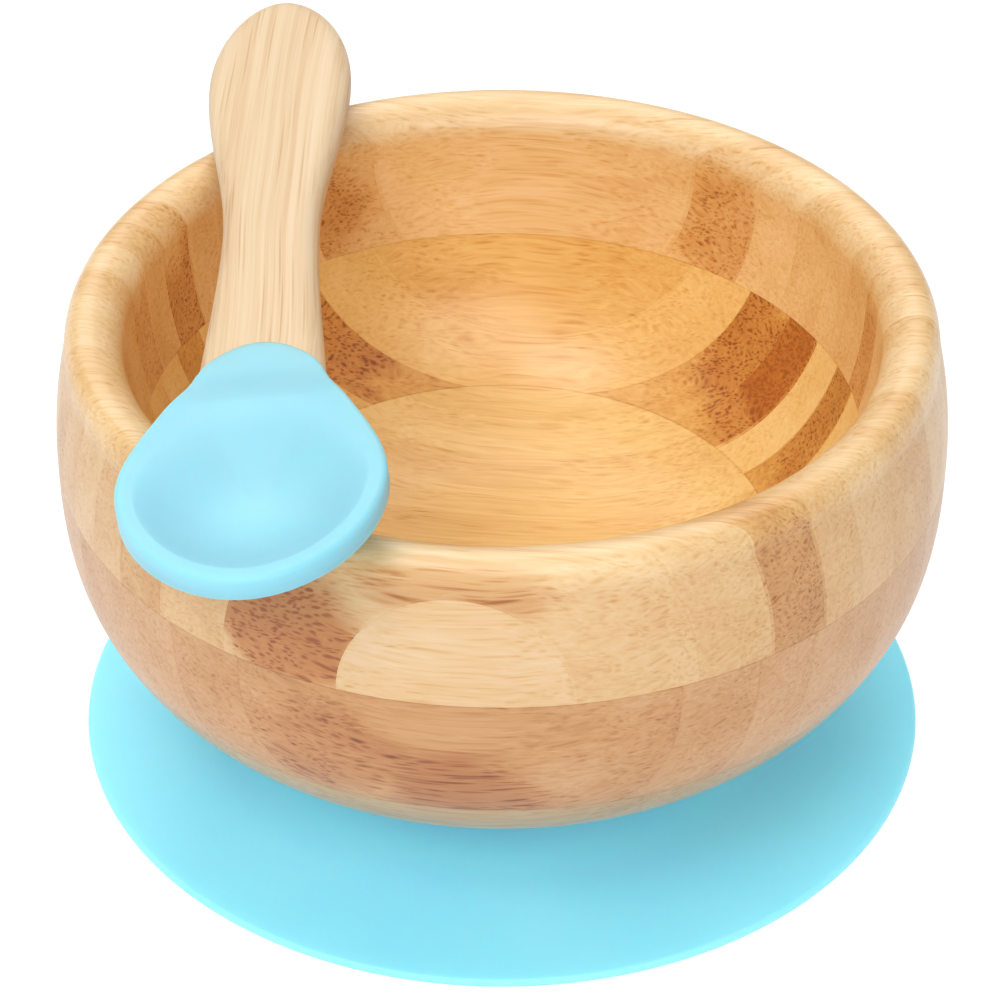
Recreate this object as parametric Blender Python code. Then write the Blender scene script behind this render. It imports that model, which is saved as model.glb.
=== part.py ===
"""Suction bowl with a matching spoon, lying across the rim.

A turned bamboo bowl sits with its round foot in the socket of a silicone suction base.
The bowl is turned from a block of three boards, glued one on the other.
The spoon is a bamboo handle whose tang is held in a silicone head.

Units are metres and +Z is up. The origin is on the bowl's axis, on the table that the base is
pressed down on. The spoon lies along Y, on the -X side, with its head at -Y.
"""
import math

import bmesh
import bpy

# Space between pieces that touch, resolution of the turned pieces, and the angle between faces
# above which an edge is shaded sharp
GAP = 0.0003
SEGMENTS = 64
SHARP_ANGLE = math.radians(40)

# Bowl: outer wall
BOWL_R = 0.0620
BELLY_Z = 0.0497
BOWL_BOTTOM_Z = 0.0084
BELLY_POWER = 2.72
SHOULDER_IN = 0.0034
SHOULDER_POWER = 2.07

# Bowl: rim
CREST_R = 0.0570
CREST_Z = 0.0705
RIM_BASE_Z = 0.0657
RIM_OUTER_POWER = 2.3
RIM_INNER_POWER = 2.0

# Bowl: hollow
HOLLOW_R = 0.0520
FLOOR_Z = 0.0217
HOLLOW_SIDE_POWER = 3.6
HOLLOW_DEPTH_POWER = 2.1

# Bowl: glue planes between its boards, and its foot
UPPER_GLUE_Z = 0.0499
LOWER_GLUE_Z = 0.0299
FOOT_R = 0.0270
FOOT_BOTTOM_Z = 0.0050

# Suction base. FLARE_SLOPE is the part of the rise to its collar that is a straight slope, and
# RING_PACKING puts the rings of its upper face closer together towards the collar.
BASE_R = 0.0610
BASE_EDGE_T = 0.0014
COLLAR_R = 0.0300
COLLAR_TOP_Z = 0.0097
FLARE_SLOPE = 0.25
FLARE_POWER = 5.5
RING_PACKING = 1.6
PAD_R = 0.0110
SEAL_R = 0.0430
SEAL_SLOPE_W = 0.0044
VACUUM_H = 0.0022

# Spoon: place of its neck, its turn about Z, and its lean about its own length. Leaning, it
# comes closest to the rim at the left lower edge of its handle, about a GAP above it.
SPOON_AT = (-0.0311, -0.0261, CREST_Z + 0.0010)
SPOON_TURN = math.radians(1.0)
SPOON_LEAN = math.radians(-5.0)

# Spoon handle: distances from the neck along the handle, and half widths there
HANDLE_L = 0.1006
HANDLE_WIDE_AT = 0.0777
HANDLE_WIDE = 0.0105
HANDLE_THIN_AT = 0.0362
HANDLE_THIN = 0.0067
HANDLE_T = 0.0057
HANDLE_ROUND = 0.0022
NECK_HALF = 0.0085
NECK_SLOPE = -0.05
NECK_ARCH = 0.0063

# Spoon tang, inside the head
TANG_HALF = 0.0042
TANG_LOW = 0.0014
TANG_T = 0.0030
TANG_L = 0.0065
TANG_ROOT = 0.0090

# Spoon head: distances from the neck towards its tip, half widths and heights
HEAD_L = 0.0467
HEAD_WIDE_AT = 0.0257
HEAD_WIDE = 0.0171
HEAD_TIP_POWER = 1.92
HEAD_SLOPE = 0.23
HEAD_RISE_L = 0.0095
UNDER_POWER = 3.2
NECK_WALL_Z = 0.0008
LIP_W = 0.0021
LIP_Z = 0.0073
LIP_DROP = 0.0031
LIP_INNER_DROP = 0.0008
HEAD_FLOOR_Z = 0.0018
SPOON_HOLLOW_AT = 0.0095
SPOON_HOLLOW_NECK = 0.0050
SPOON_HOLLOW_ARCH = 0.0015
SPOON_HOLLOW_SLOPE = 0.95
SPOON_HOLLOW_POWER = 2.6

# Rings that the head is skinned over: shares of the way out under it, then (share of the way
# across the lip, drop below it), then shares of the way out in its hollow
UNDER_RINGS = (0.35, 0.62, 0.82, 0.94, 1.0)
LIP_RINGS = ((0.0, 0.0010), (0.18, 0.0002), (0.45, 0.0), (0.78, 0.0002), (1.0, LIP_INNER_DROP))
HOLLOW_RINGS = (0.86, 0.66, 0.40)

# Colours
BAMBOO = (0.80, 0.56, 0.31)
PALE_BAMBOO = (0.87, 0.68, 0.44)
BLUE_SILICONE = (0.27, 0.66, 0.79)


def clear_scene():
    for obj in list(bpy.data.objects):
        bpy.data.objects.remove(obj, do_unlink=True)


def material(name, colour, roughness):
    mat = bpy.data.materials.new(name)
    mat.use_nodes = True
    shader = mat.node_tree.nodes["Principled BSDF"]
    shader.inputs["Base Color"].default_value = (*colour, 1.0)
    shader.inputs["Roughness"].default_value = roughness
    shader.inputs["Metallic"].default_value = 0.0
    mat.diffuse_color = (*colour, 1.0)
    return mat


def finish_mesh(name, bm, mat=None, parent=None):
    """Turn a closed bmesh into a named object, with its faces pointing out."""
    bmesh.ops.recalc_face_normals(bm, faces=bm.faces)
    mesh = bpy.data.meshes.new(name)
    bm.to_mesh(mesh)
    bm.free()
    mesh.shade_smooth()
    mesh.set_sharp_from_angle(angle=SHARP_ANGLE)
    obj = bpy.data.objects.new(name, mesh)
    bpy.context.collection.objects.link(obj)
    obj.parent = parent
    if mat is not None:
        mesh.materials.append(mat)
    return obj


def steps(count):
    return [i / count for i in range(count + 1)]


def mix(a, b, t):
    return a + (b - a) * t


def smoothstep(t):
    t = min(max(t, 0.0), 1.0)
    return t * t * (3.0 - 2.0 * t)


def skin_rings(bm, rings):
    """Join neighbouring rings of points with quads; a ring of one point becomes a fan."""
    rows = [[bm.verts.new(point) for point in ring] for ring in rings]
    for a, b in zip(rows, rows[1:]):
        count = max(len(a), len(b))
        for i in range(count):
            j = (i + 1) % count
            if len(a) == 1:
                bm.faces.new((a[0], b[i], b[j]))
            elif len(b) == 1:
                bm.faces.new((a[i], b[0], a[j]))
            else:
                bm.faces.new((a[i], b[i], b[j], a[j]))
    return rows


def turned(name, profile, mat, closed):
    """Turn a profile of (radius, height) points about Z. A closed profile makes a ring."""
    rings = []
    for radius, height in profile:
        if radius == 0.0:
            rings.append([(0.0, 0.0, height)])
            continue
        angles = [2.0 * math.pi * k / SEGMENTS for k in range(SEGMENTS)]
        rings.append([(radius * math.cos(a), radius * math.sin(a), height) for a in angles])
    bm = bmesh.new()
    rows = skin_rings(bm, rings)
    if closed:
        first, last = rows[0], rows[-1]
        for i in range(SEGMENTS):
            j = (i + 1) % SEGMENTS
            bm.faces.new((last[i], first[i], first[j], last[j]))
    return finish_mesh(name, bm, mat)


# ---- Bowl ------------------------------------------------------------------------------

def outer_radius(z):
    """Outer wall: a superellipse below the belly, and a gentle shoulder above it."""
    if z >= BELLY_Z:
        rise = (z - BELLY_Z) / (CREST_Z - BELLY_Z)
        return BOWL_R - SHOULDER_IN * rise ** SHOULDER_POWER
    drop = (BELLY_Z - z) / (BELLY_Z - BOWL_BOTTOM_Z)
    return BOWL_R * (1.0 - drop ** BELLY_POWER) ** (1.0 / BELLY_POWER)


def outer_height(radius):
    """Height of the outer wall below the belly, at a radius."""
    side = 1.0 - (radius / BOWL_R) ** BELLY_POWER
    return BELLY_Z - (BELLY_Z - BOWL_BOTTOM_Z) * side ** (1.0 / BELLY_POWER)


def hollow_radius(z):
    depth = (RIM_BASE_Z - z) / (RIM_BASE_Z - FLOOR_Z)
    return HOLLOW_R * (1.0 - depth ** HOLLOW_DEPTH_POWER) ** (1.0 / HOLLOW_SIDE_POWER)


def hollow_height(radius):
    side = 1.0 - (radius / HOLLOW_R) ** HOLLOW_SIDE_POWER
    return RIM_BASE_Z - (RIM_BASE_Z - FLOOR_Z) * side ** (1.0 / HOLLOW_DEPTH_POWER)


def rim_arc(edge_r, power, count):
    """Quarter of the rim's crown, from its edge to its crest, at evenly turned angles."""
    points = []
    for t in steps(count):
        angle = t * math.pi / 2.0
        across = math.cos(angle) ** (2.0 / power)
        up = math.sin(angle) ** (2.0 / power)
        points.append((mix(CREST_R, edge_r, across), mix(RIM_BASE_Z, CREST_Z, up)))
    return points


def outer_wall(low, high, count):
    return [(outer_radius(z), z) for z in (mix(low, high, t) for t in steps(count))]


def hollow_wall(low, high, count):
    return [(hollow_radius(z), z) for z in (mix(high, low, t) for t in steps(count))]


def top_board(mat):
    low = UPPER_GLUE_Z + GAP / 2.0
    crown = rim_arc(outer_radius(RIM_BASE_Z), RIM_OUTER_POWER, 5)
    inside = list(reversed(rim_arc(HOLLOW_R, RIM_INNER_POWER, 5)))
    profile = outer_wall(low, RIM_BASE_Z, 4)[:-1] + crown + inside[1:-1]
    profile += hollow_wall(low, RIM_BASE_Z, 3)
    return turned("bowl_top_board", profile, mat, closed=True)


def middle_board(mat):
    low = LOWER_GLUE_Z + GAP / 2.0
    high = UPPER_GLUE_Z - GAP / 2.0
    profile = outer_wall(low, high, 5) + hollow_wall(low, high, 4)
    return turned("bowl_middle_board", profile, mat, closed=True)


def bottom_board(mat):
    """The lowest board, with the foot that stands in the suction base."""
    high = LOWER_GLUE_Z - GAP / 2.0
    edge = outer_radius(high)
    profile = [(0.0, FOOT_BOTTOM_Z), (FOOT_R, FOOT_BOTTOM_Z)]
    for t in steps(8):
        radius = mix(FOOT_R, edge, math.sin(t * math.pi / 2.0))
        profile.append((radius, outer_height(radius) if t < 1.0 else high))
    rim = hollow_radius(high)
    for t in steps(6):
        radius = rim * math.cos(t * math.pi / 2.0)
        if t == 0.0:
            profile.append((rim, high))
        elif t == 1.0:
            profile.append((0.0, FLOOR_Z))
        else:
            profile.append((radius, hollow_height(radius)))
    return turned("bowl_bottom_board", profile, mat, closed=False)


# ---- Suction base ----------------------------------------------------------------------

def base_top(radius):
    """Upper face of the base: nearly flat at its edge, rising to the collar."""
    t = (BASE_R - radius) / (BASE_R - COLLAR_R)
    slope = FLARE_SLOPE * t + (1.0 - FLARE_SLOPE) * t ** FLARE_POWER
    return mix(BASE_EDGE_T, COLLAR_TOP_Z, slope)


def suction_base(mat):
    """One moulding: a collar round the bowl's foot, and a thin disc that seals on the table.

    It is modelled pressed down: its lip and its middle pad lie on the table, and the shallow
    ring between them is the vacuum space.
    """
    socket_r = FOOT_R + GAP
    socket_z = FOOT_BOTTOM_Z - GAP
    profile = [(0.0, 0.0), (PAD_R, 0.0), (PAD_R + VACUUM_H, VACUUM_H)]
    profile += [(SEAL_R - SEAL_SLOPE_W, VACUUM_H), (SEAL_R, 0.0), (BASE_R, 0.0)]
    for t in steps(10):
        radius = mix(BASE_R, COLLAR_R, 1.0 - (1.0 - t) ** RING_PACKING)
        profile.append((radius, base_top(radius)))
    profile += [(socket_r, COLLAR_TOP_Z), (socket_r, socket_z), (0.0, socket_z)]
    return turned("suction_base", profile, mat, closed=False)


# ---- Spoon -----------------------------------------------------------------------------
# In the spoon's own frame the neck is the origin, +Y runs up the handle, the head is at -Y,
# and z is 0 at the underside.

def ease(value_a, value_b, slope_a, slope_b, length, t):
    """Cubic from one width to the next, with a slope at each end."""
    t2, t3 = t * t, t * t * t
    return ((2 * t3 - 3 * t2 + 1) * value_a + (t3 - 2 * t2 + t) * length * slope_a
            + (3 * t2 - 2 * t3) * value_b + (t3 - t2) * length * slope_b)


def drop_outline(wide, tip_at, neck_half, neck_at, arch, slope, side_count=7, tip_count=8):
    """Pear-shaped outline of the head, anticlockwise from its tip.

    The tip is half a superellipse, the sides narrow to the neck, and the neck end is arched.
    """
    half = []
    for t in steps(tip_count):
        angle = t * math.pi / 2.0
        x = wide * math.sin(angle) ** (2.0 / HEAD_TIP_POWER)
        reach = (tip_at - HEAD_WIDE_AT) * math.cos(angle) ** (2.0 / HEAD_TIP_POWER)
        half.append((x, -HEAD_WIDE_AT - reach))
    length = HEAD_WIDE_AT - neck_at
    for t in steps(side_count)[1:]:
        x = ease(wide, neck_half, 0.0, -slope, length, t)
        half.append((x, -HEAD_WIDE_AT + length * t))
    for t in steps(4)[1:]:
        share = 1.0 - t
        half.append((neck_half * share, -neck_at + arch * (1.0 - share * share)))
    mirrored = [(-x, y) for x, y in reversed(half[1:-1])]
    return half + mirrored


def head_outline():
    return drop_outline(HEAD_WIDE, HEAD_L, NECK_HALF, 0.0, NECK_ARCH, HEAD_SLOPE)


def hollow_outline():
    return drop_outline(HEAD_WIDE - LIP_W, HEAD_L - LIP_W, SPOON_HOLLOW_NECK,
                        SPOON_HOLLOW_AT, SPOON_HOLLOW_ARCH, SPOON_HOLLOW_SLOPE)


def towards_bowl(y):
    """0 at the neck, 1 where the head is a full bowl."""
    return smoothstep(-y / HEAD_RISE_L)


def spoon_head(mat, parent):
    """A shallow bowl with a rounded lip, and a pocket in its neck for the handle's tang."""
    outer = head_outline()
    inner = hollow_outline()
    middle_y = -HEAD_WIDE_AT

    def lip_z(y):
        return mix(HANDLE_T + GAP, LIP_Z, towards_bowl(y))

    def wall_z(y):
        return mix(NECK_WALL_Z, LIP_Z - LIP_DROP, towards_bowl(y))

    def under_ring(scale):
        ring = []
        for x, y in outer:
            low = wall_z(y) * scale ** UNDER_POWER
            ring.append((x * scale, mix(middle_y, y, scale), low))
        return ring

    def lip_ring(across, drop):
        ring = []
        for (xo, yo), (xi, yi) in zip(outer, inner):
            y = mix(yo, yi, across)
            ring.append((mix(xo, xi, across), y, lip_z(y) - drop))
        return ring

    def hollow_ring(scale):
        edge_z = LIP_Z - LIP_INNER_DROP
        z = mix(HEAD_FLOOR_Z, edge_z, scale ** SPOON_HOLLOW_POWER)
        return [(x * scale, mix(middle_y, y, scale), z) for x, y in inner]

    rings = [[(0.0, middle_y, 0.0)]]
    rings += [under_ring(scale) for scale in UNDER_RINGS]
    rings += [lip_ring(across, drop) for across, drop in LIP_RINGS]
    rings += [hollow_ring(scale) for scale in HOLLOW_RINGS]
    rings.append([(0.0, middle_y, HEAD_FLOOR_Z)])
    bm = bmesh.new()
    skin_rings(bm, rings)
    head = finish_mesh("spoon_head", bm, mat, parent)
    cut_pocket(head, parent)
    return head


def block(name, low, high, parent):
    """A plain block between two corners, kept as a cutter or as part of a union."""
    bm = bmesh.new()
    bmesh.ops.create_cube(bm, size=1.0)
    for vert in bm.verts:
        for axis in range(3):
            vert.co[axis] = mix(low[axis], high[axis], vert.co[axis] + 0.5)
    obj = finish_mesh(name, bm, None, parent)
    obj.hide_render = True
    obj.display_type = "WIRE"
    return obj


def tang_block(name, grow, parent):
    low = (-TANG_HALF - grow, -TANG_L - grow, TANG_LOW - grow)
    high = (TANG_HALF + grow, TANG_ROOT, TANG_LOW + TANG_T + grow)
    return block(name, low, high, parent)


def add_boolean(obj, operand, operation):
    boolean = obj.modifiers.new(operation.lower(), "BOOLEAN")
    boolean.operation = operation
    boolean.solver = "EXACT"
    boolean.object = operand


def cut_pocket(head, parent):
    """The pocket that the handle's tang fills."""
    add_boolean(head, tang_block("tang_pocket_cutter", GAP, parent), "DIFFERENCE")


def handle_half_width(y):
    if y >= HANDLE_WIDE_AT:
        t = (y - HANDLE_WIDE_AT) / (HANDLE_L - HANDLE_WIDE_AT)
        return HANDLE_WIDE * math.sqrt(max(0.0, 1.0 - t * t))
    if y >= HANDLE_THIN_AT:
        length = HANDLE_WIDE_AT - HANDLE_THIN_AT
        return ease(HANDLE_THIN, HANDLE_WIDE, 0.0, 0.0, length, (y - HANDLE_THIN_AT) / length)
    return ease(NECK_HALF, HANDLE_THIN, NECK_SLOPE, 0.0, HANDLE_THIN_AT, y / HANDLE_THIN_AT)


def handle_outline():
    """Outline seen from above, anticlockwise. It runs past the neck, where the arch is cut."""
    right = [(NECK_HALF, -NECK_ARCH)]
    right += [(handle_half_width(HANDLE_WIDE_AT * t), HANDLE_WIDE_AT * t) for t in steps(12)]
    for t in steps(8)[1:]:
        a = t * math.pi / 2.0
        y = mix(HANDLE_WIDE_AT, HANDLE_L, math.sin(a))
        right.append((HANDLE_WIDE * math.cos(a) if t < 1.0 else 0.0, y))
    left = [(-x, y) for x, y in reversed(right[:-1])]
    return right + left


def arch_cutter(parent):
    """Everything on the head's side of the arched neck, less the gap between the pieces."""
    wide = NECK_HALF * 2.0
    outline = [(-wide, GAP), (-wide, -wide), (wide, -wide), (wide, GAP)]
    for t in steps(8):
        share = 1.0 - 2.0 * t
        outline.append((NECK_HALF * share, NECK_ARCH * (1.0 - share * share) + GAP))
    low, high = -HANDLE_T, 2.0 * HANDLE_T
    bm = bmesh.new()
    rows = skin_rings(bm, [[(x, y, z) for x, y in outline] for z in (low, high)])
    bm.faces.new(rows[0])
    bm.faces.new(rows[1])
    cutter = finish_mesh("arch_cutter", bm, None, parent)
    cutter.hide_render = True
    cutter.display_type = "WIRE"
    return cutter


def inset(outline, amount):
    """Move each point of a closed outline inwards, square to its two neighbours."""
    moved = []
    count = len(outline)
    for i, (x, y) in enumerate(outline):
        ax, ay = outline[i - 1]
        bx, by = outline[(i + 1) % count]
        dx, dy = bx - ax, by - ay
        length = math.hypot(dx, dy)
        moved.append((x - dy / length * amount, y + dx / length * amount))
    return moved


def spoon_handle(mat, parent):
    """A flat handle with rounded edges, and the tang that stands out of its neck end."""
    outline = handle_outline()
    rings = []
    for t in steps(6):
        angle = -math.pi / 2.0 + t * math.pi
        amount = HANDLE_ROUND * (1.0 - math.cos(angle))
        z = mix(HANDLE_ROUND, HANDLE_T - HANDLE_ROUND, t)
        z += HANDLE_ROUND * math.sin(angle)
        rings.append([(x, y, z) for x, y in inset(outline, amount)])
    bm = bmesh.new()
    rows = skin_rings(bm, rings)
    bm.faces.new(rows[0])
    bm.faces.new(rows[-1])
    handle = finish_mesh("spoon_handle", bm, mat, parent)
    add_boolean(handle, arch_cutter(parent), "DIFFERENCE")
    add_boolean(handle, tang_block("tang_union_block", 0.0, parent), "UNION")
    return handle


def spoon_place():
    """The empty that carries the spoon, on the line it is lifted off along."""
    empty = bpy.data.objects.new("spoon_place", None)
    bpy.context.collection.objects.link(empty)
    empty.location = SPOON_AT
    empty.rotation_euler = (0.0, SPOON_LEAN, SPOON_TURN)
    return empty


def main():
    clear_scene()
    bamboo = material("bamboo", BAMBOO, 0.45)
    pale_bamboo = material("pale_bamboo", PALE_BAMBOO, 0.5)
    silicone = material("blue_silicone", BLUE_SILICONE, 0.5)
    suction_base(silicone)
    bottom_board(bamboo)
    middle_board(bamboo)
    top_board(bamboo)
    place = spoon_place()
    spoon_handle(pale_bamboo, place)
    spoon_head(silicone, place)


main()
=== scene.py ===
"""Looks of the suction bowl and its spoon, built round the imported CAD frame.

The bowl's three boards, the suction base and both halves of the spoon are rebuilt here as fine
smooth meshes on the CAD's own dimensions, with procedural bamboo and silicone on them.
Units are metres; the patterns of the bamboo are worked out in millimetres.
"""

import math

import bmesh
import bpy
from mathutils import Matrix, Vector


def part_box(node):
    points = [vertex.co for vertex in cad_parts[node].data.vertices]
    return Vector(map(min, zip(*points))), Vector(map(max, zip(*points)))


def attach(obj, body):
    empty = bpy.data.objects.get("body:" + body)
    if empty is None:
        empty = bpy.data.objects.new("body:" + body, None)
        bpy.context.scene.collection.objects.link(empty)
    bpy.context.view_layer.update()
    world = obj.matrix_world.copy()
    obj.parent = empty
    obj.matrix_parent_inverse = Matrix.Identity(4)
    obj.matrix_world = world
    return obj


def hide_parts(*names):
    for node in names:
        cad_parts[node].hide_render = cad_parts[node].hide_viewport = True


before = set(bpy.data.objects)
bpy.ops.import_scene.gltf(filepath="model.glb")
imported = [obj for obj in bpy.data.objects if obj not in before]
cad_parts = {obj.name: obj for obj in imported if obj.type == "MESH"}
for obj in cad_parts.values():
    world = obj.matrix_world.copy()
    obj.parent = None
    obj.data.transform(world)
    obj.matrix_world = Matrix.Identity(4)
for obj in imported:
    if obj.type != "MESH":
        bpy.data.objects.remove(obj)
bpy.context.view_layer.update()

# ---- Dimensions ------------------------------------------------------------------------

top_low, top_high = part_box("bowl_top_board")
middle_low, middle_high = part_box("bowl_middle_board")
bottom_low, bottom_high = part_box("bowl_bottom_board")
base_low, base_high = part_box("suction_base")

MM = 0.001

# Taken from the frame
BOWL_R = middle_high.x
CREST_Z = top_high.z
UPPER_GLUE_Z = (top_low.z + middle_high.z) / 2.0
LOWER_GLUE_Z = (middle_low.z + bottom_high.z) / 2.0
FOOT_BOTTOM_Z = bottom_low.z
BASE_R = base_high.x
COLLAR_TOP_Z = base_high.z

# Shape of the turned pieces, as in the CAD
BELLY_Z = 49.7 * MM
BOWL_BOTTOM_Z = 8.4 * MM
BELLY_POWER = 2.72
SHOULDER_IN = 3.4 * MM
SHOULDER_POWER = 2.07
CREST_R = 57.0 * MM
RIM_BASE_Z = 65.7 * MM
RIM_OUTER_POWER = 2.3
RIM_INNER_POWER = 2.0
HOLLOW_R = 52.0 * MM
FLOOR_Z = 21.7 * MM
HOLLOW_SIDE_POWER = 3.6
HOLLOW_DEPTH_POWER = 2.1
FOOT_R = 27.0 * MM
EDGE_T = 1.4 * MM
COLLAR_R = 30.0 * MM
FLARE_SLOPE = 0.25
FLARE_POWER = 5.5
PAD_R = 11.0 * MM
SEAL_R = 43.0 * MM
VACUUM_H = 2.2 * MM
FIT = 0.3 * MM

# Finer detail of the turned pieces: rounded edges, the slopes beside the vacuum space, half the
# glue line between two boards, and how the rings of the base pack towards its collar
SEAM = 0.01 * MM
FOOT_ROUND = 0.6 * MM
COLLAR_ROUND = 0.7 * MM
COLLAR_ROUND_STRETCH = 1.2
SOCKET_CHAMFER = 0.4 * MM
PAD_SLOPE_W = 2.0 * MM
SEAL_SLOPE_W = 5.0 * MM
BASE_PACKING = 1.6
SEGMENTS = 256

# Shape of the spoon, as in the CAD, in its own frame: neck at the origin, handle along +Y
SPOON_AT = Vector((-31.1 * MM, -26.1 * MM, CREST_Z + 1.0 * MM))
SPOON_TURN = math.radians(1.0)
SPOON_LEAN = math.radians(-5.0)
HANDLE_L = 100.6 * MM
HANDLE_WIDE_AT = 77.7 * MM
HANDLE_WIDE = 10.5 * MM
HANDLE_THIN_AT = 36.2 * MM
HANDLE_THIN = 6.7 * MM
HANDLE_T = 5.7 * MM
NECK_HALF = 8.5 * MM
NECK_SLOPE = -0.05
NECK_ARCH = 6.3 * MM
HEAD_L = 46.7 * MM
HEAD_WIDE_AT = 25.7 * MM
HEAD_WIDE = 17.1 * MM
HEAD_TIP_POWER = 1.92
HEAD_SLOPE = 0.23
HEAD_RISE_L = 9.5 * MM
UNDER_POWER = 3.2
NECK_WALL_Z = 0.8 * MM
LIP_W = 2.1 * MM
LIP_Z = 7.3 * MM
LIP_DROP = 3.1 * MM
HEAD_FLOOR_Z = 1.8 * MM

# Finer detail of the handle: its soft edge reaches this far in, as a superellipse
HANDLE_EDGE = 3.5 * MM
HANDLE_EDGE_POWER = 2.3

# Finer detail of the head. The hollow ends this far from the neck, with soft corners.
HEAD_HOLLOW_AT = 8.6 * MM
HEAD_HOLLOW_CORNER = 2.4 * MM
HEAD_HOLLOW_SMOOTHING = 12

# Radius of the head's upper edge: at the neck, at the bowl, and on the arch, which it reaches
# within a short way of the neck
NECK_EDGE_R = 1.6 * MM
BOWL_EDGE_R = 0.9 * MM
ARCH_EDGE_R = 0.5 * MM
ARCH_EDGE_L = 2.0 * MM

# The hollow falls to its floor over this share of the way to its middle. The fall starts
# steeply inside the lip at the tip, and gently below the neck, changing along a stretch of y.
HOLLOW_FALL = 0.9
FALL_POWER_TIP = 0.62
FALL_POWER_NECK = 1.10
FALL_CHANGE_FROM_Y = -32.0 * MM
FALL_CHANGE_L = 23.0 * MM
LIP_PACKING = 1.6
HOLLOW_PACKING = 1.25


# ---- Small helpers ---------------------------------------------------------------------

def steps(count):
    return [i / count for i in range(count + 1)]


def mix(a, b, t):
    return a + (b - a) * t


def smoothstep(t):
    t = min(max(t, 0.0), 1.0)
    return t * t * (3.0 - 2.0 * t)


def ease(value_a, value_b, slope_a, slope_b, length, t):
    """Cubic from one value to the next, with a slope at each end."""
    t2, t3 = t * t, t * t * t
    return ((2 * t3 - 3 * t2 + 1) * value_a + (t3 - 2 * t2 + t) * length * slope_a
            + (3 * t2 - 2 * t3) * value_b + (t3 - t2) * length * slope_b)


def round_off(distance, radius):
    """How far a rounded edge has dropped, at a distance in from the edge."""
    if distance >= radius:
        return 0.0
    return radius - math.sqrt(radius * radius - (radius - distance) ** 2)


def soft_limit(value, limit, softness):
    """The value while it is well under a limit, rounding smoothly over to the limit above it."""
    return value - softness * math.log(1.0 + math.exp((value - limit) / softness))


def piece_from(name, points, faces, mat, body, node, sharp=35.0):
    """Make a closed smooth piece that rides a body and stands for a CAD node."""
    mesh = bpy.data.meshes.new(name)
    mesh.from_pydata(points, [], faces)
    bm = bmesh.new()
    bm.from_mesh(mesh)
    bmesh.ops.recalc_face_normals(bm, faces=bm.faces)
    bm.to_mesh(mesh)
    bm.free()
    mesh.shade_smooth()
    mesh.set_sharp_from_angle(angle=math.radians(sharp))
    mesh.materials.append(mat)
    obj = bpy.data.objects.new(name, mesh)
    bpy.context.scene.collection.objects.link(obj)
    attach(obj, body)
    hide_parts(node)


def skin_rings(rings, closed=False):
    """Points and faces of a skin over rings of points. A ring of one point closes a fan."""
    points, faces, starts = [], [], []
    for ring in rings:
        starts.append(len(points))
        points += ring
    pairs = list(zip(range(len(rings) - 1), range(1, len(rings))))
    if closed:
        pairs.append((len(rings) - 1, 0))
    for a, b in pairs:
        count = max(len(rings[a]), len(rings[b]))
        first, second = starts[a], starts[b]
        for i in range(count):
            j = (i + 1) % count
            if len(rings[a]) == 1:
                faces.append((first, second + i, second + j))
            elif len(rings[b]) == 1:
                faces.append((first + i, second, first + j))
            else:
                faces.append((first + i, second + i, second + j, first + j))
    return points, faces


def turned(profile, closed):
    """Turn a profile of (radius, height) points about Z. A closed profile makes a ring."""
    rings = []
    for radius, height in profile:
        if radius == 0.0:
            rings.append([(0.0, 0.0, height)])
            continue
        angles = [2.0 * math.pi * k / SEGMENTS for k in range(SEGMENTS)]
        rings.append([(radius * math.cos(a), radius * math.sin(a), height) for a in angles])
    return skin_rings(rings, closed)


# ---- Bowl ------------------------------------------------------------------------------

def outer_radius(z):
    """Outer wall: a superellipse below the belly, and a gentle shoulder above it."""
    if z >= BELLY_Z:
        rise = (z - BELLY_Z) / (CREST_Z - BELLY_Z)
        return BOWL_R - SHOULDER_IN * rise ** SHOULDER_POWER
    drop = (BELLY_Z - z) / (BELLY_Z - BOWL_BOTTOM_Z)
    return BOWL_R * (1.0 - drop ** BELLY_POWER) ** (1.0 / BELLY_POWER)


def outer_height(radius):
    """Height of the outer wall below the belly, at a radius."""
    side = 1.0 - (radius / BOWL_R) ** BELLY_POWER
    return BELLY_Z - (BELLY_Z - BOWL_BOTTOM_Z) * side ** (1.0 / BELLY_POWER)


def hollow_radius(z):
    depth = (RIM_BASE_Z - z) / (RIM_BASE_Z - FLOOR_Z)
    return HOLLOW_R * (1.0 - depth ** HOLLOW_DEPTH_POWER) ** (1.0 / HOLLOW_SIDE_POWER)


def hollow_height(radius):
    side = 1.0 - (radius / HOLLOW_R) ** HOLLOW_SIDE_POWER
    return RIM_BASE_Z - (RIM_BASE_Z - FLOOR_Z) * side ** (1.0 / HOLLOW_DEPTH_POWER)


def rim_arc(edge_r, power, count=24):
    """Quarter of the rim's crown, from its edge to its crest."""
    points = []
    for t in steps(count):
        angle = t * math.pi / 2.0
        across = math.cos(angle) ** (2.0 / power)
        up = math.sin(angle) ** (2.0 / power)
        points.append((mix(CREST_R, edge_r, across), mix(RIM_BASE_Z, CREST_Z, up)))
    return points


def outer_wall(low, high, count):
    return [(outer_radius(z), z) for z in (mix(low, high, t) for t in steps(count))]


def hollow_wall(low, high, count):
    return [(hollow_radius(z), z) for z in (mix(high, low, t) for t in steps(count))]


def top_profile():
    low = UPPER_GLUE_Z + SEAM
    crown = rim_arc(outer_radius(RIM_BASE_Z), RIM_OUTER_POWER)
    inside = list(reversed(rim_arc(HOLLOW_R, RIM_INNER_POWER)))
    profile = outer_wall(low, RIM_BASE_Z, 20)[:-1] + crown + inside[1:-1]
    return profile + hollow_wall(low, RIM_BASE_Z, 20)


def middle_profile():
    low, high = LOWER_GLUE_Z + SEAM, UPPER_GLUE_Z - SEAM
    return outer_wall(low, high, 28) + hollow_wall(low, high, 28)


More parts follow.
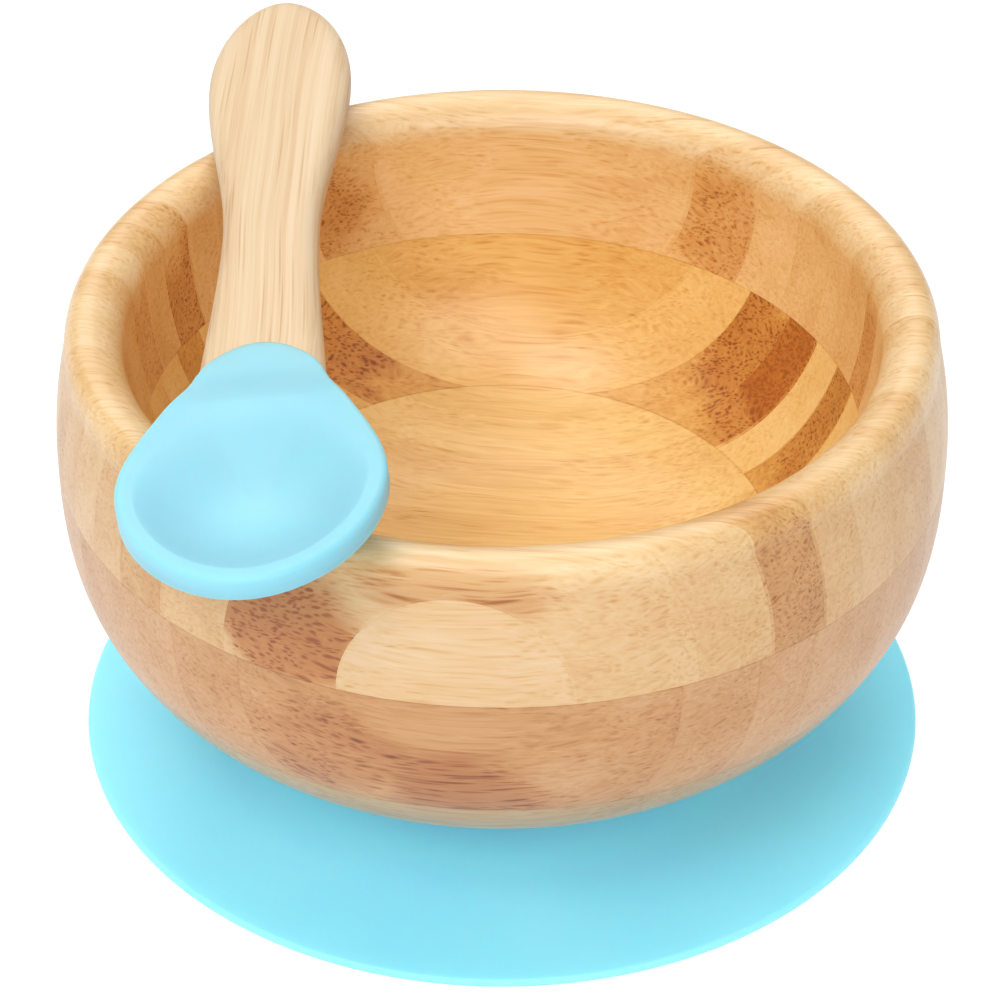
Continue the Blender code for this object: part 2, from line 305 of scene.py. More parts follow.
def foot_profile():
    """Underside of the foot, and its rounded edge."""
    profile = [(0.0, FOOT_BOTTOM_Z), (FOOT_R * 0.5, FOOT_BOTTOM_Z)]
    centre_r, centre_z = FOOT_R - FOOT_ROUND, FOOT_BOTTOM_Z + FOOT_ROUND
    for t in steps(5):
        a = t * math.pi / 2.0
        profile.append((centre_r + FOOT_ROUND * math.sin(a), centre_z - FOOT_ROUND * math.cos(a)))
    return profile


def bottom_profile():
    high = LOWER_GLUE_Z - SEAM
    edge, rim = outer_radius(high), hollow_radius(high)
    profile = foot_profile()
    for t in steps(40):
        radius = mix(FOOT_R, edge, math.sin(t * math.pi / 2.0))
        profile.append((radius, outer_height(radius) if t < 1.0 else high))
    for t in steps(30)[:-1]:
        radius = rim * math.cos(t * math.pi / 2.0)
        profile.append((radius, hollow_height(radius) if t > 0.0 else high))
    profile.append((0.0, FLOOR_Z))
    return profile


# ---- Suction base ----------------------------------------------------------------------

def base_top(radius):
    """Upper face of the base: nearly flat at its edge, rising to the collar."""
    t = (BASE_R - radius) / (BASE_R - COLLAR_R)
    slope = FLARE_SLOPE * t + (1.0 - FLARE_SLOPE) * t ** FLARE_POWER
    return mix(EDGE_T, COLLAR_TOP_Z, slope)


def underside_profile():
    """The middle pad, the ring of the vacuum space, and the sealing lip."""
    profile = [(0.0, 0.0)]
    for t in steps(8):
        rise = (1.0 - math.cos(t * math.pi)) / 2.0
        profile.append((PAD_R + PAD_SLOPE_W * t, VACUUM_H * rise))
    for t in steps(10):
        fall = (1.0 + math.cos(t * math.pi)) / 2.0
        profile.append((SEAL_R - SEAL_SLOPE_W * (1.0 - t), VACUUM_H * fall))
    return profile


def base_profile():
    """The sealing underside, the disc's rounded edge, its upper face, the collar and socket."""
    socket_r, socket_z = FOOT_R + FIT, FOOT_BOTTOM_Z - FIT
    half = EDGE_T / 2.0
    profile = underside_profile()
    for t in steps(10):
        angle = (t - 0.5) * math.pi
        profile.append((BASE_R - half + half * math.cos(angle), half + half * math.sin(angle)))
    for t in steps(60)[1:]:
        radius = mix(BASE_R - half, COLLAR_R, 1.0 - (1.0 - t) ** BASE_PACKING)
        profile.append((radius, base_top(radius)))
    for t in steps(5)[1:]:
        inwards = COLLAR_ROUND * math.sin(t * math.pi / 2.0) * COLLAR_ROUND_STRETCH
        profile.append((COLLAR_R - inwards, COLLAR_TOP_Z))
    profile.append((socket_r + SOCKET_CHAMFER, COLLAR_TOP_Z))
    profile.append((socket_r, COLLAR_TOP_Z - SOCKET_CHAMFER))
    return profile + [(socket_r, socket_z), (0.0, socket_z)]


# ---- Spoon head ------------------------------------------------------------------------

def neck_arch(x):
    """How far the arched joint of head and handle stands out from the neck."""
    return NECK_ARCH * max(0.0, 1.0 - (x / NECK_HALF) ** 2)


def head_outline():
    """Pear-shaped outline of the head, anticlockwise from its tip, in many small steps."""
    half = []
    for t in steps(40):
        angle = t * math.pi / 2.0
        x = HEAD_WIDE * math.sin(angle) ** (2.0 / HEAD_TIP_POWER)
        reach = (HEAD_L - HEAD_WIDE_AT) * math.cos(angle) ** (2.0 / HEAD_TIP_POWER)
        half.append((x, -HEAD_WIDE_AT - reach))
    for t in steps(36)[1:]:
        x = ease(HEAD_WIDE, NECK_HALF, 0.0, -HEAD_SLOPE, HEAD_WIDE_AT, t)
        half.append((x, HEAD_WIDE_AT * (t - 1.0)))
    for t in steps(20)[1:]:
        x = NECK_HALF * (1.0 - t)
        half.append((x, neck_arch(x)))
    half[0] = (0.0, -HEAD_L)
    return half + [(-x, y) for x, y in reversed(half[1:-1])]


def smoothed(outline):
    """Move each point of a closed outline halfway to the middle of its two neighbours."""
    count = len(outline)
    moved = []
    for i, (x, y) in enumerate(outline):
        (xa, ya), (xb, yb) = outline[i - 1], outline[(i + 1) % count]
        moved.append((mix(x, (xa + xb) / 2.0, 0.5), mix(y, (ya + yb) / 2.0, 0.5)))
    return moved


def hollow_edge(outer):
    """The outline of the hollow: the head's outline moved in, and closed off at the neck."""
    edge = []
    count = len(outer)
    for i, (x, y) in enumerate(outer):
        (xa, ya), (xb, yb) = outer[i - 2], outer[(i + 2) % count]
        tx, ty = xb - xa, yb - ya
        length = math.hypot(tx, ty)
        inner_x, inner_y = x - LIP_W * ty / length, y + LIP_W * tx / length
        edge.append((inner_x, soft_limit(inner_y, -HEAD_HOLLOW_AT, HEAD_HOLLOW_CORNER)))
    for _ in range(HEAD_HOLLOW_SMOOTHING):
        edge = smoothed(edge)
    return edge


def towards_bowl(y):
    """0 at the neck, 1 where the head is a full bowl."""
    return smoothstep(-y / HEAD_RISE_L)


def lip_z(y):
    return mix(HANDLE_T + FIT, LIP_Z, towards_bowl(y))


def wall_z(y):
    """Height of the lower edge of the head's side wall."""
    return mix(NECK_WALL_Z, LIP_Z - LIP_DROP, towards_bowl(y))


def lip_edge_radius(y):
    if y > 0.0:
        return mix(NECK_EDGE_R, ARCH_EDGE_R, smoothstep(y / ARCH_EDGE_L))
    return mix(NECK_EDGE_R, BOWL_EDGE_R, towards_bowl(y))


def fall_power(y):
    change = smoothstep((y - FALL_CHANGE_FROM_Y) / FALL_CHANGE_L)
    return mix(FALL_POWER_TIP, FALL_POWER_NECK, change)


def under_ring(outer, scale):
    return [(x * scale, mix(-HEAD_WIDE_AT, y, scale), wall_z(y) * scale ** UNDER_POWER)
            for x, y in outer]


def lip_ring(outer, inner, across):
    """A ring on the lip, a share of the way across it from the outer edge."""
    ring = []
    for (xo, yo), (xi, yi) in zip(outer, inner):
        y = mix(yo, yi, across)
        distance = across * math.hypot(xi - xo, yi - yo)
        ring.append((mix(xo, xi, across), y, lip_z(y) - round_off(distance, lip_edge_radius(yo))))
    return ring


def hollow_ring(inner, inwards):
    """A ring in the hollow, a share of the way in from its edge to its middle."""
    ring = []
    for x, y in inner:
        drop = smoothstep((inwards / HOLLOW_FALL) ** fall_power(y))
        z = mix(lip_z(y), HEAD_FLOOR_Z, drop)
        ring.append((x * (1.0 - inwards), mix(y, -HEAD_WIDE_AT, inwards), z))
    return ring


def spoon_head_rings():
    outer = head_outline()
    inner = hollow_edge(outer)
    rings = [[(0.0, -HEAD_WIDE_AT, 0.0)]]
    rings += [under_ring(outer, math.sin(t * math.pi / 2.0)) for t in steps(18)[1:]]
    rings += [lip_ring(outer, inner, t ** LIP_PACKING) for t in steps(24)]
    rings += [hollow_ring(inner, t ** HOLLOW_PACKING) for t in steps(48)[1:-1]]
    rings.append([(0.0, -HEAD_WIDE_AT, HEAD_FLOOR_Z)])
    return rings


# ---- Spoon handle ----------------------------------------------------------------------

def handle_half_width(y):
    if y >= HANDLE_WIDE_AT:
        t = (y - HANDLE_WIDE_AT) / (HANDLE_L - HANDLE_WIDE_AT)
        return HANDLE_WIDE * math.sqrt(max(0.0, 1.0 - t * t))
    if y >= HANDLE_THIN_AT:
        length = HANDLE_WIDE_AT - HANDLE_THIN_AT
        return ease(HANDLE_THIN, HANDLE_WIDE, 0.0, 0.0, length, (y - HANDLE_THIN_AT) / length)
    return ease(NECK_HALF, HANDLE_THIN, NECK_SLOPE, 0.0, HANDLE_THIN_AT, y / HANDLE_THIN_AT)


def corner_y(inset):
    """Where a side that is moved in by a distance meets the arch, found by repetition."""
    y = 0.0
    for _ in range(8):
        y = neck_arch(handle_half_width(y) - inset)
    return y


def handle_side(inset):
    """Right side of the handle from neck to tip, moved in from its edge by a distance."""
    points = []
    start = corner_y(inset)
    step = 0.1 * MM
    for t in steps(70):
        y = mix(start, HANDLE_WIDE_AT, t)
        slope = (handle_half_width(y + step) - handle_half_width(y)) / step
        length = math.hypot(1.0, slope)
        points.append((handle_half_width(y) - inset / length, y + inset * slope / length * t))
    reach = HANDLE_L - HANDLE_WIDE_AT
    for t in steps(48)[1:]:
        a = t * math.pi / 2.0
        nx, ny = math.cos(a) / HANDLE_WIDE, math.sin(a) / reach
        length = math.hypot(nx, ny)
        x = HANDLE_WIDE * math.cos(a) - inset * nx / length
        points.append((x, HANDLE_WIDE_AT + reach * math.sin(a) - inset * ny / length))
    points[-1] = (0.0, points[-1][1])
    return points


def handle_ring(inset, z):
    side = handle_side(inset)
    corner = side[0][0]
    ring = [(x, y, z) for x, y in side]
    ring += [(-x, y, z) for x, y in reversed(side[:-1])]
    for t in steps(20)[1:-1]:
        x = mix(-corner, corner, t)
        ring.append((x, neck_arch(x), z))
    return ring


def handle_mesh():
    """Flat handle with wide soft edges; its neck end is hollowed to the arch of the head."""
    middle = HANDLE_T / 2.0
    edge = []
    for t in steps(14):
        a = t * math.pi / 2.0
        inset = HANDLE_EDGE * (1.0 - math.sin(a) ** (2.0 / HANDLE_EDGE_POWER))
        edge.append((inset, middle * math.cos(a) ** (2.0 / HANDLE_EDGE_POWER)))
    stack = [handle_ring(inset, middle + z) for inset, z in edge]
    stack += [handle_ring(inset, middle - z) for inset, z in reversed(edge[:-1])]
    points, faces = skin_rings(stack)
    count = len(stack[0])
    faces.append(tuple(range(count)))
    faces.append(tuple(range(len(points) - 1, len(points) - 1 - count, -1)))
    return points, faces


# ---- Materials: tools ------------------------------------------------------------------

class Nodes:
    """A short way to write a shader's nodes: each call adds a node and returns its output."""

    def __init__(self, mat):
        mat.use_nodes = True
        self.tree = mat.node_tree
        self.shader = self.tree.nodes["Principled BSDF"]

    def put(self, socket, value):
        if isinstance(value, bpy.types.NodeSocket):
            self.tree.links.new(value, socket)
        else:
            socket.default_value = value

    def new(self, kind, output=0, settings=None, **inputs):
        """Inputs are given by name, with _ for a space, or by number, as i0, i1 and i2."""
        node = self.tree.nodes.new(kind)
        for key, value in (settings or {}).items():
            setattr(node, key, value)
        for key, value in inputs.items():
            numbered = key[0] == "i" and key[1:].isdigit()
            self.put(node.inputs[int(key[1:]) if numbered else key.replace("_", " ")], value)
        return node.outputs[output]

    def shade(self, **inputs):
        """Set or link the Principled shader's own inputs."""
        for key, value in inputs.items():
            self.put(self.shader.inputs[key.replace("_", " ")], value)

    def math(self, operation, a, b=0.0, c=0.0):
        settings = {"operation": operation}
        return self.new("ShaderNodeMath", settings=settings, i0=a, i1=b, i2=c)

    def plus(self, a, b):
        return self.math("ADD", a, b)

    def minus(self, a, b):
        return self.math("SUBTRACT", a, b)

    def times(self, a, b):
        return self.math("MULTIPLY", a, b)

    def swing(self, pattern, weight):
        """A pattern between 0 and 1, as a change of up to half the weight either way."""
        return self.times(self.minus(pattern, 0.5), weight)

    def vector(self, operation, a, b):
        return self.new("ShaderNodeVectorMath", settings={"operation": operation}, i0=a, i1=b)

    def length(self, x, y):
        settings = {"operation": "LENGTH"}
        return self.new("ShaderNodeVectorMath", output=1, settings=settings,
                        i0=self.join(x, y, 0.0))

    def join(self, x, y, z):
        return self.new("ShaderNodeCombineXYZ", X=x, Y=y, Z=z)

    def split(self, vector):
        node = self.tree.nodes.new("ShaderNodeSeparateXYZ")
        self.put(node.inputs[0], vector)
        return node.outputs

    def fit(self, value, low, high, to_low=0.0, to_high=1.0):
        """Map a value from one range to another, smoothly and clamped."""
        node = self.tree.nodes.new("ShaderNodeMapRange")
        node.interpolation_type = "SMOOTHSTEP"
        for socket, given in zip(node.inputs, (value, low, high, to_low, to_high)):
            self.put(socket, given)
        return node.outputs[0]

    def ramp(self, value, stops, interpolation="LINEAR"):
        node = self.tree.nodes.new("ShaderNodeValToRGB")
        node.color_ramp.interpolation = interpolation
        elements = node.color_ramp.elements
        while len(elements) > 1:
            elements.remove(elements[-1])
        elements[0].position = stops[0][0]
        elements[0].color = (*stops[0][1], 1.0)
        for position, colour in stops[1:]:
            elements.new(position).color = (*colour, 1.0)
        self.put(node.inputs[0], value)
        return node.outputs[0]

    def noise(self, vector, scale=1.0, detail=2.0, roughness=0.5):
        return self.new("ShaderNodeTexNoise", settings={"noise_dimensions": "3D"},
                        Vector=vector, Scale=scale, Detail=detail, Roughness=roughness)

    def long_noise(self, vector, cell, detail=2.0, roughness=0.5):
        """Noise whose features are about as long, along each axis, as the cell's sides."""
        return self.noise(self.in_cells(vector, cell), detail=detail, roughness=roughness)

    def spots(self, vector, cell):
        """Distance from the nearest of one point scattered in each cell, in cells."""
        settings = {"voronoi_dimensions": "3D", "feature": "F1"}
        return self.new("ShaderNodeTexVoronoi", settings=settings,
                        Vector=self.in_cells(vector, cell), Scale=1.0, Randomness=1.0)

    def in_cells(self, vector, cell):
        return self.vector("MULTIPLY", vector, tuple(1.0 / side for side in cell))

    def blend(self, factor, a, b, mode="MIX"):
        node = self.tree.nodes.new("ShaderNodeMix")
        node.data_type = "RGBA"
        node.blend_type = mode
        self.put(node.inputs[0], factor)
        self.put(node.inputs[6], a)
        self.put(node.inputs[7], b)
        return node.outputs[2]

    def bump(self, height, strength, distance):
        normal = self.new("ShaderNodeBump", Height=height, Strength=strength, Distance=distance)
        self.shade(Normal=normal)


def srgb(red, green, blue):
    """Linear colour from 0 to 255 screen values."""
    def linear(value):
        value /= 255.0
        return value / 12.92 if value <= 0.04045 else ((value + 0.055) / 1.055) ** 2.4
    return (linear(red), linear(green), linear(blue))


# ---- Materials: bamboo of the bowl -----------------------------------------------------
# All lengths here are in millimetres. s runs along the strips, c across them from the front of
# the bowl to its back, and z up.

GRAIN_TURN = math.radians(5.8)

BAMBOO_TONES = [
    (0.00, srgb(116, 64, 26)),
    (0.25, srgb(178, 118, 58)),
    (0.50, srgb(212, 163, 95)),
    (0.75, srgb(229, 193, 135)),
    (1.00, srgb(238, 213, 170)),
]
# Orange of the joints of the cane, used as well for painted shade on the top board's left inner
# wall
KNOT_AND_SHADE_COLOUR = (*srgb(186, 104, 40), 1.0)

# Fibres: the size of the cell that holds one bundle of them, and of the noises between them
BUNDLE_CELL = (24.0, 0.80, 0.85)
FINE_CELL = (12.0, 0.46, 0.50)
STREAK_CELL = (42.0, 0.55, 0.55)
CLOUD_CELL = (26.0, 5.0, 8.0)
WANDER_CELL = (20.0, 10.0 / 3.0, 10.0 / 3.0)
WANDER = 2.4

# How much each pattern changes the tone
TONE_LIFT = 0.015
STREAK_WEIGHT = 0.48
CLOUD_WEIGHT = 0.34
BUNDLE_WEIGHT = 0.11
FINE_WEIGHT = (0.07, 0.15)
KNOT_AND_SHADE_BUNDLE_WEIGHT = 0.34
KNOT_AND_SHADE_FINE_WEIGHT = 0.36
KNOT_AND_SHADE_WEIGHT = 0.25
KNOT_AND_SHADE_COLOUR_WEIGHT = 0.40
STRIP_LINE_WEIGHT = 0.04
GLUE_LINE_WEIGHT = 0.11

# Where the hollow's tint changes to the outside's, in radius and under the hollow's floor, and
# where both change to the rim's, in height
SIDE_FROM, SIDE_TO = 52.2, 54.0
UNDER_FROM, UNDER_TO = 21.4, 20.4
RIM_FROM, RIM_TO = 64.5, 69.0

# Each board: the c of its first strip's front edge, a strip's width, the tone of each strip
# from the front to the back, its dark patches as (strip number, s, z, half its length, half
# its height, depth), its glued faces, and its tint in the hollow, on the rim and outside.
# The patches are joints of the cane, and on the top board's left inner wall partly painted
# shade; the outside's tint is painted shade and painted sheen, the rim's painted sheen.
TOP_BOARD = {
    "first_edge": -66.35,
    "strip": 6.25,
    "tones": (0.82, 0.74, 0.70, 0.52, 0.66, 0.72, 0.64, 0.60, 0.70, 0.74,
              0.61, 0.73, 0.60, 0.62, 0.69, 0.65, 0.71, 0.64, 0.70, 0.68),
    "knots_and_shade_patches": ((1, -21.0, 57.0, 12.0, 12.0, 1.25), (1, 0.0, 66.0, 15.0, 5.0, 0.5),
              (3, 36.0, 58.0, 14.0, 12.0, 0.25),
              # From strip 7 to 17 at negative s the patches lie on the left inner wall: partly
              # dark strips of the cane, partly painted shade under the spoon and the left wall.
              (17, 31.0, 55.0, 9.0, 11.0, 0.45), (17, -33.0, 55.0, 9.0, 11.0, 0.6),
              (16, -38.0, 56.0, 8.0, 12.0, 0.35), (13, -47.0, 54.0, 9.0, 12.0, 0.7),
              (11, -49.0, 56.0, 9.0, 12.0, 0.5), (9, -50.0, 54.0, 9.0, 12.0, 0.4),
              (12, 50.0, 56.0, 9.0, 10.0, 0.45), (7, -52.0, 55.0, 9.0, 11.0, 0.3)),
    "seams": (UPPER_GLUE_Z / MM,),
    # Painted light: a darker, greyer outside tint as painted shade and painted sheen; a paler rim
    # tint as painted sheen
    "tints_with_painted_light": ((0.98, 0.91, 0.86), (0.86, 0.87, 0.96), (0.75, 0.70, 0.72)),
}
MIDDLE_BOARD = {
    "first_edge": -61.12,
    "strip": 6.18,
    "tones": (0.52, 0.54, 0.60, 0.62, 0.58, 0.62, 0.56, 0.62, 0.58, 0.62,
              0.72, 0.80, 0.46, 0.80, 0.56, 0.52, 0.68, 0.60, 0.62, 0.60),
    "knots_and_shade_patches": ((0, 2.0, 33.0, 13.0, 9.0, 0.75), (0, -16.0, 38.0, 11.0, 9.0, 0.45),
              (14, 39.0, 42.0, 8.0, 13.0, 1.3), (14, 34.0, 36.0, 8.0, 10.0, 0.6),
              (15, 33.0, 42.0, 9.0, 16.0, 0.7), (15, -29.0, 40.0, 9.0, 14.0, 0.6),
              (12, 44.0, 40.0, 9.0, 16.0, 0.4)),
    "seams": (UPPER_GLUE_Z / MM, LOWER_GLUE_Z / MM),
    # Painted light: a darker, greyer outside tint as painted shade and painted sheen
    "tints_with_painted_light": ((0.99, 0.91, 0.66), (0.99, 0.91, 0.66), (0.70, 0.62, 0.70)),
}
BOTTOM_BOARD = {
    "first_edge": -58.28,
    "strip": 6.18,
    "tones": (0.60, 0.62, 0.60, 0.62, 0.66, 0.64, 0.68, 0.64, 0.70, 0.66,
              0.68, 0.66, 0.72, 0.68, 0.74, 0.70, 0.74, 0.68, 0.64, 0.62),
    "knots_and_shade_patches": ((5, -30.0, 26.0, 12.0, 10.0, 0.4),),
    "seams": (LOWER_GLUE_Z / MM,),
    # Painted light: the darkest, greyest outside tint as painted shade and painted sheen
    "tints_with_painted_light": ((0.99, 0.95, 0.73), (0.99, 0.95, 0.73), (0.64, 0.60, 0.66)),
}


def fibres(n, grain, index):
    """Patterns of the fibres: bundles, fine bundles, streaks and clouds, each 0 to 1.

    Each strip is cut from another place, so its patterns start elsewhere.
    """
    s, c, z = n.split(grain)
    wander = n.long_noise(grain, WANDER_CELL, detail=1.0)
    wave = n.times(wander, WANDER)
    shift = n.join(n.times(index, 17.3), 0.0, n.times(index, 9.1))
    bent = n.vector("ADD", n.join(s, n.plus(c, wave), n.plus(z, wave)), shift)
    bundle = n.fit(n.spots(bent, BUNDLE_CELL), 0.42, 0.10)
    fine = n.fit(n.spots(bent, FINE_CELL), 0.50, 0.10)
    streak = n.long_noise(bent, STREAK_CELL, detail=4.0, roughness=0.65)
    cloud = n.long_noise(bent, CLOUD_CELL, detail=3.0)
    return bundle, fine, streak, cloud


def knot_and_shade_mask(n, s, z, index, cloud, knots_and_shade_patches):
    """Where the cane had a joint, and on the top board's left inner wall partly painted shade: 0
    away from a patch, up to its depth in its middle.
    """
    ragged = n.swing(cloud, 0.9)
    deepest = None
    for strip_no, patch_s, patch_z, half_s, half_z, depth in knots_and_shade_patches:
        from_s = n.math("DIVIDE", n.minus(s, patch_s), half_s)
        from_z = n.math("DIVIDE", n.minus(z, patch_z), half_z)
        soft = n.fit(n.plus(n.length(from_s, from_z), ragged), 1.15, 0.55)
        in_strip = n.math("COMPARE", index, float(strip_no), 0.5)
        mask = n.times(n.times(soft, in_strip), depth)
        deepest = mask if deepest is None else n.math("MAXIMUM", deepest, mask)
    return deepest


def glue_lines(n, across, strip, z, seams):
    """Thin dark lines between the strips, and at the board's glued faces."""
    share = n.math("PINGPONG", n.math("MAXIMUM", across, 0.5), 0.5)
    line = n.times(n.fit(n.times(share, strip), 0.12, 0.02), STRIP_LINE_WEIGHT)
    for seam_z in seams:
        away = n.math("ABSOLUTE", n.minus(z, seam_z))
        seam = n.times(n.fit(away, 0.16, 0.03), GLUE_LINE_WEIGHT)
        line = n.math("MAXIMUM", line, seam)
    return line


def tint_with_painted_light(n, s, c, z, tints_with_painted_light):
    """Painted light: the outside is tinted darker and greyer than the gold of the hollow, most on
    the lowest board, as painted shade and painted sheen, and the rim is tinted paler than both,
    as painted sheen.
    """
    in_hollow, on_rim, outside = [(*tint, 1.0) for tint in tints_with_painted_light]
    side = n.fit(n.length(s, c), SIDE_FROM, SIDE_TO)
    under = n.fit(z, UNDER_FROM, UNDER_TO)
    tint = n.blend(n.math("MAXIMUM", side, under), in_hollow, outside)
    return n.blend(n.fit(z, RIM_FROM, RIM_TO), tint, on_rim)


def bamboo_tone(n, tone, share, knot_and_shade, patterns):
    """Tone of the wood, 0 dark to 1 pale. One side of each strip holds more fine bundles."""
    bundle, fine, streak, cloud = patterns
    dense = n.fit(share, 0.15, 1.0)
    value = n.plus(n.plus(tone, TONE_LIFT), n.swing(streak, STREAK_WEIGHT))
    value = n.plus(value, n.swing(cloud, CLOUD_WEIGHT))
    bundle_weight = n.plus(BUNDLE_WEIGHT, n.times(knot_and_shade, KNOT_AND_SHADE_BUNDLE_WEIGHT))
    fine_weight = n.plus(n.fit(dense, 0.0, 1.0, *FINE_WEIGHT), n.times(knot_and_shade, KNOT_AND_SHADE_FINE_WEIGHT))
    value = n.minus(value, n.times(bundle, bundle_weight))
    value = n.minus(value, n.times(fine, fine_weight))
    return n.minus(value, n.times(knot_and_shade, KNOT_AND_SHADE_WEIGHT))


def bowl_bamboo(name, first_edge, strip, tones, knots_and_shade_patches, seams, tints_with_painted_light):
    """Bamboo of one board, worked out in 3-D, so that every cut face shows the right grain."""
    mat = bpy.data.materials.new(name)
    n = Nodes(mat)
    place = n.new("ShaderNodeTexCoord", output=3)
    grain = n.new("ShaderNodeMapping", Vector=place, Rotation=(0.0, 0.0, GRAIN_TURN),
                  Scale=(1.0 / MM, 1.0 / MM, 1.0 / MM))
    s, c, z = n.split(grain)

    # Which strip, and how far across it
    across = n.math("DIVIDE", n.minus(c, first_edge), strip)
    index = n.math("MAXIMUM", n.math("FLOOR", across), 0.0)
    share = n.minus(across, index)
    count = len(tones)
    stops = [(i / count, (tone, tone, tone)) for i, tone in enumerate(tones)]
    tone = n.ramp(n.math("DIVIDE", across, count), stops, "CONSTANT")

    patterns = fibres(n, grain, index)
    bundle, _, streak, cloud = patterns
    # Dark orange patches: joints of the cane, and painted shade on the top board's left inner
    # wall
    knot_and_shade = knot_and_shade_mask(n, s, z, index, cloud, knots_and_shade_patches)
    line = glue_lines(n, across, strip, z, seams)
    value = n.minus(bamboo_tone(n, tone, share, knot_and_shade, patterns), line)
    colour = n.blend(n.times(knot_and_shade, KNOT_AND_SHADE_COLOUR_WEIGHT), n.ramp(value, BAMBOO_TONES), KNOT_AND_SHADE_COLOUR)
    rough = n.plus(0.36, n.times(streak, 0.14))
    # The tint multiplies in painted shade and painted sheen on the outside, and painted sheen on
    # the rim
    n.shade(Base_Color=n.blend(1.0, colour, tint_with_painted_light(n, s, c, z, tints_with_painted_light), "MULTIPLY"),
            Roughness=n.plus(rough, n.times(bundle, 0.10)), Specular_IOR_Level=0.45,
            Coat_Weight=0.35, Coat_Roughness=0.22)
    height = n.minus(n.minus(streak, n.times(bundle, 0.6)), n.times(line, 2.0))
    n.bump(height, 0.22, 0.05 * MM)
    return mat


# ---- Materials: handle and silicone ----------------------------------------------------

HANDLE_TONES = [
    (0.00, srgb(158, 113, 72)),
    (0.35, srgb(185, 148, 107)),
    (0.70, srgb(205, 179, 143)),
    (1.00, srgb(214, 193, 162)),
]


def handle_bamboo():
    """Pale bamboo with long fine streaks that run the length of the handle."""
    mat = bpy.data.materials.new("handle_bamboo")
    n = Nodes(mat)
    place = n.new("ShaderNodeTexCoord", output=3)
    along_spoon = n.new("ShaderNodeMapping", settings={"vector_type": "TEXTURE"}, Vector=place,
                        Location=SPOON_AT, Rotation=(0.0, SPOON_LEAN, SPOON_TURN))
    in_mm = n.vector("MULTIPLY", along_spoon, (1.0 / MM, 1.0 / MM, 1.0 / MM))
    x, y, z = n.split(in_mm)

    # The streaks wander a little, and lean over towards the handle's end
    wander = n.long_noise(in_mm, (50.0 / 3.0, 50.0, 50.0 / 3.0), detail=1.0)
    rise = n.math("MAXIMUM", n.math("DIVIDE", y, 96.0), 0.0)
    lean = n.times(n.times(rise, rise), 2.2)
    bent = n.join(n.minus(n.plus(x, n.times(wander, 3.0)), lean), y, z)

    dash = n.fit(n.spots(bent, (0.62, 40.0, 1.0)), 0.36, 0.08)
    fine = n.long_noise(bent, (0.36, 70.0, 0.5), detail=4.0, roughness=0.65)
    bands = n.long_noise(bent, (1.5, 130.0, 3.0), detail=1.0)
    value = n.plus(n.plus(0.70, n.swing(bands, 0.62)), n.swing(fine, 0.62))
    value = n.minus(value, n.times(dash, 0.24))
    n.shade(Base_Color=n.ramp(value, HANDLE_TONES),
            Roughness=n.plus(0.42, n.times(fine, 0.12)), Specular_IOR_Level=0.38)
    n.bump(n.minus(fine, dash), 0.25, 0.05 * MM)
    return mat


def silicone(name, deep, pale):
    """Satin moulded silicone: a barely uneven colour, and a very fine moulded skin."""
    mat = bpy.data.materials.new(name)
    n = Nodes(mat)
    place = n.new("ShaderNodeTexCoord", output=3)
    soft = n.noise(place, scale=38.0)
    skin = n.noise(place, scale=2600.0)
    colour = n.ramp(n.fit(soft, 0.25, 0.75), [(0.0, srgb(*deep)), (1.0, srgb(*pale))])
    rough = n.plus(0.40, n.times(soft, 0.08))
    n.shade(Base_Color=colour, Roughness=n.plus(rough, n.times(skin, 0.06)),
            Specular_IOR_Level=0.4, Subsurface_Weight=0.55, Subsurface_Radius=(0.25, 0.85, 1.1),
            Subsurface_Scale=7.0 * MM)
    n.bump(skin, 0.08, 0.03 * MM)
    return mat


# ---- Stage, light and camera -----------------------------------------------------------

def make_stage():
    """A white floor that also gives out light, a hair below the base."""
    bm = bmesh.new()
    bmesh.ops.create_grid(bm, x_segments=1, y_segments=1, size=4.0)
    mesh = bpy.data.meshes.new("floor")
    bm.to_mesh(mesh)
    bm.free()
    floor = bpy.data.objects.new("floor", mesh)
    floor.location.z = -0.05 * MM
    bpy.context.scene.collection.objects.link(floor)
    mat = bpy.data.materials.new("floor_white")
    Nodes(mat).shade(Base_Color=(0.40, 0.40, 0.40, 1.0), Emission_Color=(1.0, 1.0, 1.0, 1.0),
                     Emission_Strength=0.66, Roughness=0.8, Specular_IOR_Level=0.1)
    mesh.materials.append(mat)


def soft_box(name, at, size, watts):
    """A square area light that points at the middle of the bowl."""
    light = bpy.data.lights.new(name, "AREA")
    light.shape = "SQUARE"
    light.size = size
    light.energy = watts
    obj = bpy.data.objects.new(name, light)
    obj.location = at
    towards = Vector((0.0, 0.0, 0.04)) - Vector(at)
    obj.rotation_euler = towards.to_track_quat("-Z", "Y").to_euler()
    bpy.context.scene.collection.objects.link(obj)


def make_light():
    world = bpy.data.worlds.new("studio")
    world.use_nodes = True
    background = world.node_tree.nodes["Background"]
    background.inputs["Color"].default_value = (1.0, 1.0, 1.0, 1.0)
    background.inputs["Strength"].default_value = 0.50
    bpy.context.scene.world = world
    soft_box("key", (-0.42, -0.75, 1.05), 0.60, 7.3)
    soft_box("back_left", (-0.25, 0.80, 1.10), 1.00, 6.5)
    soft_box("top", (0.15, 0.35, 1.10), 0.90, 2.9)
    soft_box("left", (-0.95, -0.30, 0.60), 0.70, 1.4)
    soft_box("front", (0.15, -0.95, 0.70), 0.70, 5.3)


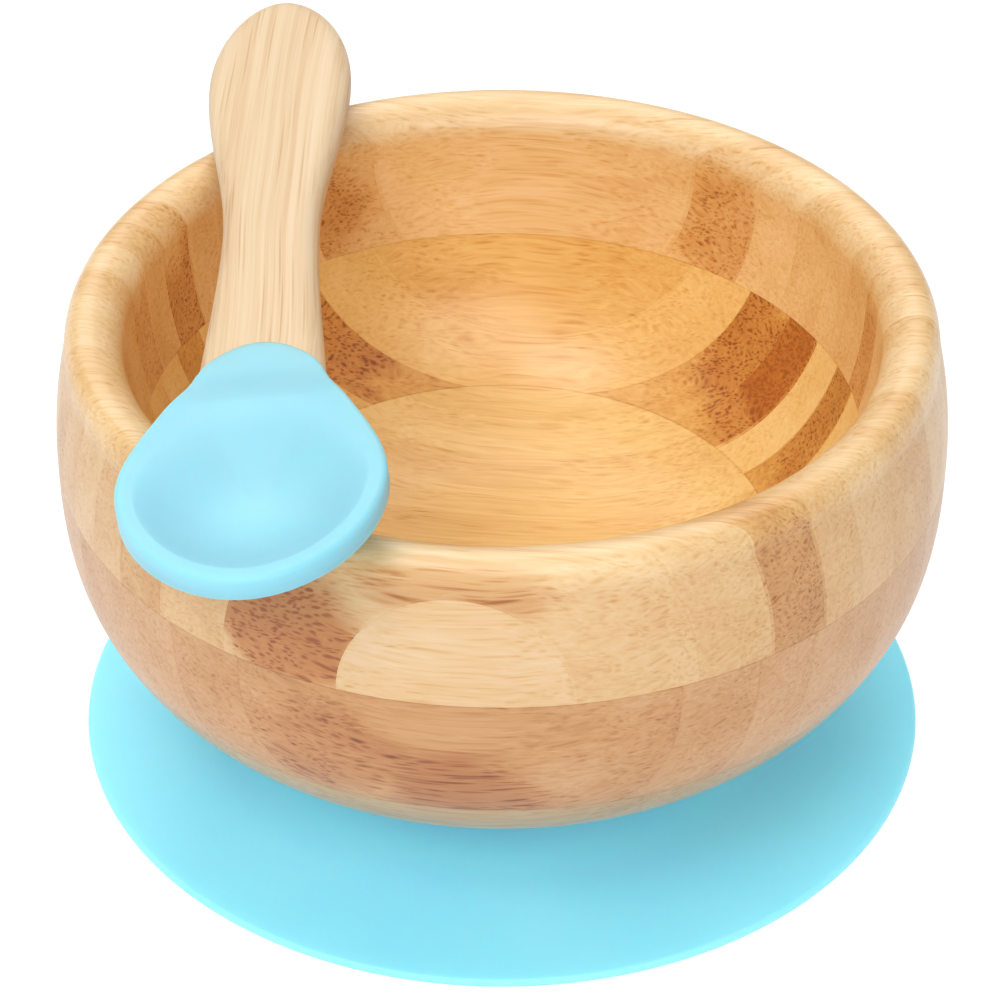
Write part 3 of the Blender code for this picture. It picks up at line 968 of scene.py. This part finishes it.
def make_camera():
    """The camera stands in front, and looks down at the middle of the bowl."""
    pitch = math.radians(36.38)
    height_angle = math.radians(36.42)
    distance = 520.74 * MM
    target = Vector((-0.30 * MM, 0.0, 36.44 * MM))
    data = bpy.data.cameras.new("camera")
    data.sensor_width = 36.0
    data.lens = 131.76
    data.clip_start = 0.02
    data.clip_end = 20.0
    camera = bpy.data.objects.new("camera", data)
    back = Vector((0.0, -math.cos(height_angle), math.sin(height_angle)))
    camera.location = target + back * distance
    camera.rotation_euler = (math.pi / 2.0 - pitch, 0.0, 0.0)
    bpy.context.scene.collection.objects.link(camera)
    bpy.context.scene.camera = camera


# ---- The pieces ------------------------------------------------------------------------

def make_base():
    mat = silicone("silicone_base", (140, 220, 251), (146, 224, 253))
    points, faces = turned(base_profile(), closed=False)
    piece_from("base_moulding", points, faces, mat, "base", "suction_base")


def make_bowl():
    for level, board, profile, closed in (
            ("top", TOP_BOARD, top_profile(), True),
            ("middle", MIDDLE_BOARD, middle_profile(), True),
            ("bottom", BOTTOM_BOARD, bottom_profile(), False)):
        mat = bowl_bamboo("bamboo_" + level + "_board", **board)
        points, faces = turned(profile, closed)
        name = "bowl_" + level
        piece_from(name, points, faces, mat, "bowl", name + "_board")


def laid_on_rim(points):
    """Points of the spoon, moved from its own frame to where it lies on the bowl."""
    place = Matrix.Translation(SPOON_AT)
    place = place @ Matrix.Rotation(SPOON_TURN, 4, "Z") @ Matrix.Rotation(SPOON_LEAN, 4, "Y")
    return [place @ Vector(point) for point in points]


def make_spoon():
    points, faces = handle_mesh()
    piece_from("spoon_handle_wood", laid_on_rim(points), faces, handle_bamboo(), "spoon",
               "spoon_handle", sharp=50.0)
    # Painted shade: the spoon's head gets a darker, greyer copy of the base's silicone
    mat = silicone("silicone_spoon_painted_shade", (132, 191, 205), (138, 195, 209))
    points, faces = skin_rings(spoon_head_rings())
    piece_from("spoon_head_soft", laid_on_rim(points), faces, mat, "spoon", "spoon_head",
               sharp=60.0)


make_camera()
make_light()
make_stage()
make_base()
make_bowl()
make_spoon()
bpy.context.scene.view_settings.view_transform = "Standard"
